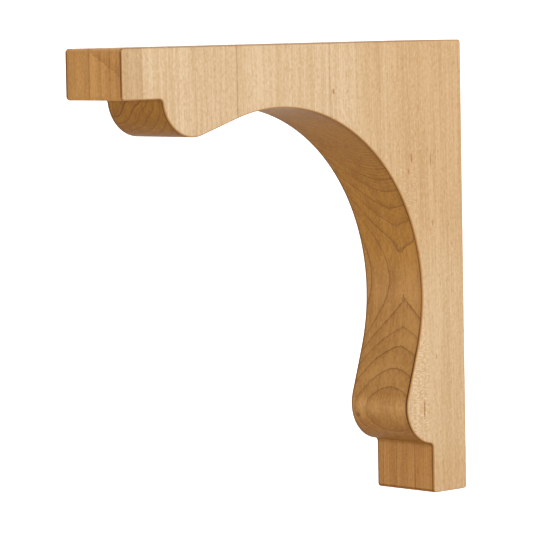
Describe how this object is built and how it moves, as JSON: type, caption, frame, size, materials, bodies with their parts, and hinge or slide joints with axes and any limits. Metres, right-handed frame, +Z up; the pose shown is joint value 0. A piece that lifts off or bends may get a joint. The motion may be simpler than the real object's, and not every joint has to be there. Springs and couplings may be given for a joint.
{
  "type": "wooden corbel bracket",
  "caption": "Plain hardwood corbel bracket with square-ended arm and leg, an ogee at each end and a quarter arch between them, for a shelf, mantel or counter.",
  "frame": {"origin": "centre of the flat back face, on the wall plane", "axes": "+Z up, +Y into the wall (the arm reaches out along -Y), +X across the thickness"},
  "size_m": [0.0444, 0.254, 0.254],
  "materials": {
    "maple": "satin"
  },
  "bodies": {
    "root": {"wall_board": "maple", "middle_board": "maple", "nose_board": "maple"}
  },
  "joints": []
}
